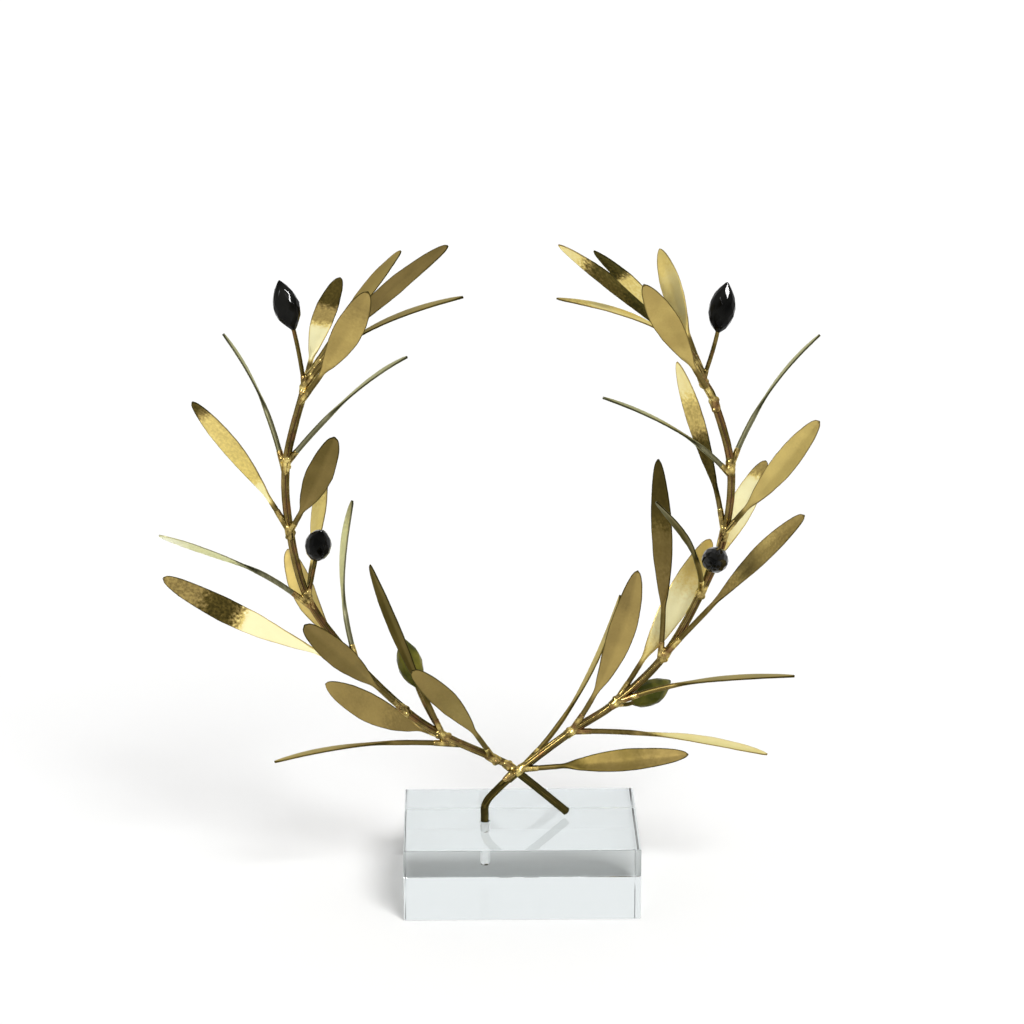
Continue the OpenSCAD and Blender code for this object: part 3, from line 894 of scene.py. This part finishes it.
# %% Where the drops of braze lie
def knot_drops(stem, u):
    """A collar along the branch, and lumps round it, whose turn, place and size are drawn in that order."""
    r, way, middle = stem_radius(stem, u), heading(stem, u), along(stem, u)
    drops = []
    for k in range(-4, 5):
        off = 0.45 * k
        drops.append((middle + way * off, r * (1.14 - 0.03 * off * off)))
    for k in range(6):
        turn = math.tau * k / 6 + random.uniform(-0.5, 0.5)
        out = Vector((1, 0, 0)) * math.cos(turn) + FRONT * math.sin(turn)
        out = (out - way * out.dot(way)).normalized()
        place = middle + way * random.uniform(-2.0, 2.0) + out * r * 0.7
        drops.append((place, r * random.uniform(0.55, 0.78)))
    return drops


def sleeve_drops(stem, leaf, step=0.35):
    """A sleeve that thins from the branch to the leaf's stalk."""
    seat, root, _, _ = leaf_points(stem, leaf)
    way = (root - seat).normalized()
    reach = (root - seat).length + random.uniform(0.8, 2.2)
    steps = int(reach / step)
    shares = [k / steps for k in range(steps + 1)]
    return [(seat + way * reach * share, 1.2 * (1 - share) + (STALK_R + 0.14) * share) for share in shares]


def fillet_drops(stem, olive, reach=3.6):
    """Braze round the first few millimetres of an olive's stalk."""
    seat = along(stem, olive["seat"])
    line = [(point, (point - seat).length) for point in smooth_line(stalk_points(stem, olive), 40)]
    return [(point, 1.25 - 0.1 * far) for point, far in line if far < reach]


# %% Lay the braze
KNOTS = {"left": (1.2, 2, 3, 4, 5, 6, 7, 8, 9), "right": (5, 6, 7, 8, 9, 10, 11, 12, 13)}
random.seed(21)
for side_name, (stem, leaf_rows, olive_rows) in SIDES.items():
    drops = [drop for u in KNOTS[side_name] for drop in knot_drops(stem, u)]
    drops += [drop for leaf in leaf_rows for drop in sleeve_drops(stem, leaf)]
    drops += [drop for olive in olive_rows for drop in fillet_drops(stem, olive)]
    if side_name == "right":
        on_top = Vector((0, -0.15, 0.1))
        drops += [(stub[0] + (stub[1] - stub[0]) * k / 8 + on_top, 1.15 - 0.02 * k) for k in range(9)]
    braze = grow(f"{side_name}_braze", BRAZE_PLAN, {"Grain": BRAZE_GRAIN * MM, "Material": BRAZE_GOLD},
                 drop_mesh(f"{side_name}_drops", drops))
    branch_parts[side_name].append(braze)
    print(side_name, "braze faces", len(braze.data.polygons))

# %% [markdown]
# ## Olives
# The olives look ground and lacquered by hand: pointed, with soft flat spots that each catch a piece of the
# lights. Rings of points that wander a little are wrapped in a convex skin, its flat spots are kept, and a
# bevel rounds the ridges between them.

# %% Make the olives
OLIVE_RINGS = 8
POINTS_IN_RING, POINTS_AT_ENDS = 9, 5
RIDGE_BEVEL = 0.42
FLAT_WITHIN = math.radians(9)
OLIVE_SEEDS = {"left": 40, "right": 50}


def olive_mesh(name, seed):
    """A pointed olive standing on the origin along Z, in metres, with soft flat spots."""
    draw = random.Random(seed)
    shape = bmesh.new()
    for k in range(OLIVE_RINGS + 1):
        share = 0.03 + 0.94 * k / OLIVE_RINGS
        r = OLIVE_W / 2 * math.sin(math.pi * share ** 0.92) ** 0.8
        count = POINTS_AT_ENDS if k in (0, OLIVE_RINGS) else POINTS_IN_RING
        for j in range(count):
            turn = math.tau * (j + 0.5 * (k % 2)) / count + draw.uniform(-0.12, 0.12)
            push = r * draw.uniform(0.985, 1.03)
            height = OLIVE_LEN * (share + draw.uniform(-0.012, 0.012))
            shape.verts.new((push * math.cos(turn) * MM, push * math.sin(turn) * MM, height * MM))
    shape.verts.new((0, 0, 0.1 * MM))
    shape.verts.new((0, 0, OLIVE_LEN * MM))
    hull = bmesh.ops.convex_hull(shape, input=shape.verts)
    inside = [vert for vert in hull["geom_interior"] if isinstance(vert, bmesh.types.BMVert)]
    bmesh.ops.delete(shape, geom=inside, context="VERTS")
    bmesh.ops.dissolve_limit(shape, angle_limit=FLAT_WITHIN, verts=shape.verts, edges=shape.edges)
    return mesh_from(shape, name)


def make_olive(name, seed, foot, way, material):
    """An olive that stands on its foot and points along its way."""
    piece = show(name, olive_mesh(name, seed))
    bevel = piece.modifiers.new("soft ridges", "BEVEL")
    bevel.width = RIDGE_BEVEL * MM
    bevel.segments = 3
    bevel.limit_method = "NONE"
    soft = piece.modifiers.new("soft", "SUBSURF")
    soft.levels = soft.render_levels = 1
    piece.data = plain_mesh(piece, name)
    turn = Vector((0, 0, 1)).rotation_difference(way).to_matrix().to_4x4()
    turn.translation = metres(foot)
    piece.data.transform(turn)
    piece.data.polygons.foreach_set("use_smooth", [True] * len(piece.data.polygons))
    piece.data.materials.append(material)
    return piece


olives = {}
for side_name, (stem, _, olive_rows) in SIDES.items():
    for i, olive in enumerate(olive_rows, start=1):
        _, foot, way = olive_points(stem, olive)
        olives[f"{side_name}_olive_{i}"] = make_olive(
            f"{side_name}_glossy_olive_{i}", OLIVE_SEEDS[side_name] + i, foot, way,
            GREEN_OLIVE if i == 1 else BLACK_OLIVE)
print("olive faces", [len(piece.data.polygons) for piece in olives.values()])

# %% [markdown]
# ## The clear block
# Cast acrylic, polished, with its edges just broken. The hole is drilled, so its wall stays frosted. The
# drill's shape is taken out of a bevelled box, because a true hole bends the light as the real one does.


# %% Make the block
def block_mesh(edge=0.35):
    """The block with its edges broken, standing on the floor."""
    shape = bmesh.new()
    bmesh.ops.create_cube(shape, size=1.0)
    for vert in shape.verts:
        vert.co = Vector((vert.co.x * BLOCK[0], vert.co.y * BLOCK[1], (vert.co.z + 0.5) * BLOCK[2])) * MM
    bmesh.ops.bevel(shape, geom=shape.edges[:], offset=edge * MM, segments=2, profile=0.5, affect="EDGES")
    return mesh_from(shape, "clear_block")


def drill_mesh(radius=1.7, deep=12.4, above=5.0, sides=48, end_rings=8):
    """The drill's shape: a cylinder with a rounded end, standing out of the block."""
    turns = [math.tau * j / sides for j in range(sides)]
    bends = [math.pi / 2 * k / end_rings for k in range(end_rings)]
    outline = [(radius, above)]
    outline += [(radius * math.cos(a), radius - deep - radius * math.sin(a)) for a in bends]
    shape = bmesh.new()
    loops = []
    for r, z in outline:
        ring = [(HOLE_AT[0] + r * math.cos(a), HOLE_AT[1] + r * math.sin(a), BLOCK[2] + z) for a in turns]
        loops.append([shape.verts.new(Vector(point) * MM) for point in ring])
    for upper, lower in zip(loops, loops[1:]):
        for j in range(sides):
            after = (j + 1) % sides
            shape.faces.new((upper[j], upper[after], lower[after], lower[j]))
    shape.faces.new(loops[0])
    shape.faces.new(loops[-1])
    bmesh.ops.recalc_face_normals(shape, faces=shape.faces)
    return mesh_from(shape, "drill")


block = show("clear_acrylic_block", block_mesh())
block.data.materials.append(CLEAR_ACRYLIC)
drill = show("drill", drill_mesh())
drill.data.materials.append(DRILLED_ACRYLIC)
cut = block.modifiers.new("drilled hole", "BOOLEAN")
cut.operation = "DIFFERENCE"
cut.solver = "EXACT"
cut.object = drill
cut.material_mode = "TRANSFER"
block.data = plain_mesh(block, block.name)
bpy.data.objects.remove(drill)
print("block faces", len(block.data.polygons))

# %% [markdown]
# ## Which solids these pieces stand for
# Every piece rides on the part's one body. The metal pieces of a branch stand together for its solid.


# %% Ride and replace
def settle(piece, node):
    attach(piece, "root")
    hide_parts(node)


for node_name, piece in leaves.items():
    settle(piece, node_name)
for side_name, parts in branch_parts.items():
    for piece in parts:
        settle(piece, f"{side_name}_branch")
for node_name, piece in olives.items():
    settle(piece, node_name)
settle(block, "block")

# %% [markdown]
# ## Floor, light and camera
# A white floor under a soft sun, in a bright room, with painted light under the block and a painted shadow
# behind it. The room is darker beside the object and low down in front, where the camera stands. That, with
# the painted tones of the leaves, makes the leaves that face it look tan instead of yellow.

# %% Floor
FLOOR_REACH = 8.0
FLOOR_LEVEL = -0.0002
# painted light: how strongly the floor glows under the block, standing in for light that passes down through
# it
PAINTED_LIGHT_UNDER_BLOCK = 0.58
SHADE_BEHIND = 0.5
# Colours of the floor in the open, in the painted shadow behind the block, and under the block, where it is
# darker and glows with painted light
FLOOR_TONES = [(0.0, (0.87, 0.87, 0.866)), (0.5, (0.4, 0.4, 0.395)), (1.0, (0.35, 0.35, 0.35))]


def floor_material():
    """White, with painted light glowing under the block in place of the light through it, and a soft shadow
    painted behind it.
    """
    material, tree, shader = new_material("white_floor", Roughness=0.9, Specular_IOR_Level=0.1,
                                          Emission_Color=(1.0, 1.0, 1.0, 1))
    spot = add(tree, "ShaderNodeSeparateXYZ", {0: object_place(tree)}).outputs
    wide, deep = BLOCK[0] / 2 * MM, BLOCK[1] / 2 * MM
    aside = calc("ABSOLUTE", spot["X"])
    under = times(calc("LESS_THAN", aside, wide), calc("LESS_THAN", calc("ABSOLUTE", spot["Y"]), deep))
    behind = times(
        spread(aside, 0.9 * wide, 1.15 * wide, 1.0, 0.0),
        calc("GREATER_THAN", spot["Y"], deep),
        spread(spot["Y"], deep, 2.4 * deep, 1.0, 0.0, ease="LINEAR"),
        spread(spot["Y"], deep, deep + 2.5 * MM))
    put(ramp(plus(times(behind, SHADE_BEHIND), under), FLOOR_TONES), shader.inputs["Base Color"])
    # painted light: the floor under the block glows, as if lit by light passing down through the block
    put(times(under, PAINTED_LIGHT_UNDER_BLOCK), shader.inputs["Emission Strength"])
    return material


floor_shape = bmesh.new()
bmesh.ops.create_grid(floor_shape, x_segments=1, y_segments=1, size=FLOOR_REACH)
bmesh.ops.translate(floor_shape, verts=floor_shape.verts, vec=(0, 0, FLOOR_LEVEL))
floor = show("floor", mesh_from(floor_shape, "floor"))
floor.data.materials.append(floor_material())

# %% Room around the object
# How bright the room is behind the object, beside it, in front of it low down and higher up, and overhead
BACK_WALL, SIDE_WALLS, FRONT_LOW, FRONT_HIGH, CEILING = 0.95, 0.55, 0.6, 1.2, 0.95
# Diffuse light gets only this share of it, and the camera sees the room at this level
DIFFUSE_SHARE, SEEN_BY_CAMERA = 0.72, 0.97

world = bpy.data.worlds.new("studio")
bpy.context.scene.world = world
world.use_nodes = True
room = world.node_tree
backdrop = room.nodes["Background"]
seen_way = add(room, "ShaderNodeTexCoord").outputs["Generated"]
direction = add(room, "ShaderNodeSeparateXYZ", {0: seen_way}).outputs
rays = add(room, "ShaderNodeLightPath").outputs
level = between(spread(direction["Y"], 0.3, 0.7), SIDE_WALLS, BACK_WALL)
front_level = between(spread(direction["Z"], 0.1, 0.5), FRONT_LOW, FRONT_HIGH)
level = between(spread(times(direction["Y"], -1.0), 0.1, 0.6), level, front_level)
level = between(spread(direction["Z"], 0.5, 0.9), level, CEILING)
level = times(level, between(rays["Is Diffuse Ray"], 1.0, DIFFUSE_SHARE))
put(between(rays["Is Camera Ray"], level, SEEN_BY_CAMERA), backdrop.inputs["Strength"])
backdrop.inputs["Color"].default_value = (1.0, 1.0, 1.0, 1)

# %% Lamps
CROWN_MIDDLE = (0, 0, 0.15)


def lamp(name, kind, place, aim, power, **settings):
    """A lamp that points from its place at an aim."""
    data = bpy.data.lights.new(name, kind)
    data.energy = power
    for label, value in settings.items():
        setattr(data, label, value)
    made = show(name, data)
    made.location = place
    made.rotation_euler = (Vector(aim) - Vector(place)).to_track_quat("-Z", "Y").to_euler()
    return made


def gloss_panel(name, place, size, size_y, power):
    """A bright rectangle that only shows in gloss."""
    made = lamp(name, "AREA", place, CROWN_MIDDLE, power, shape="RECTANGLE", size=size, size_y=size_y)
    made.visible_diffuse = made.visible_camera = False
    return made


key = lamp("key", "SUN", (0.4, -0.85, 0.95), (0, 0, 0), 2.4, angle=math.radians(25))
key.visible_glossy = False
gloss_panel("window", (-0.7, -0.9, 0.75), 0.2, 0.36, 9.0)

# only three black olives see the second panel, which puts the small hard highlights on their lacquer
lacquered = bpy.data.collections.new("lacquered")
for node_name in ("left_olive_2", "left_olive_3", "right_olive_3"):
    lacquered.objects.link(olives[node_name])
olive_panel = gloss_panel("olive_panel", (0.9, -0.65, 0.95), 0.62, 0.85, 520.0)
olive_panel.light_linking.receiver_collection = lacquered

# %% Camera
# The photo's camera: its lens, height and tilt were fitted to the corners of the block
view = bpy.data.cameras.new("camera")
view.lens = 126.2
view.sensor_width = 36.0
view.clip_end = 50.0
camera = show("camera", view)
camera.location = (-0.0226, -1.1576, 0.4651)
camera.rotation_euler = (math.radians(90 - 15.93), 0, math.radians(-0.97))
bpy.context.scene.camera = camera
bpy.context.scene.view_settings.view_transform = "Standard"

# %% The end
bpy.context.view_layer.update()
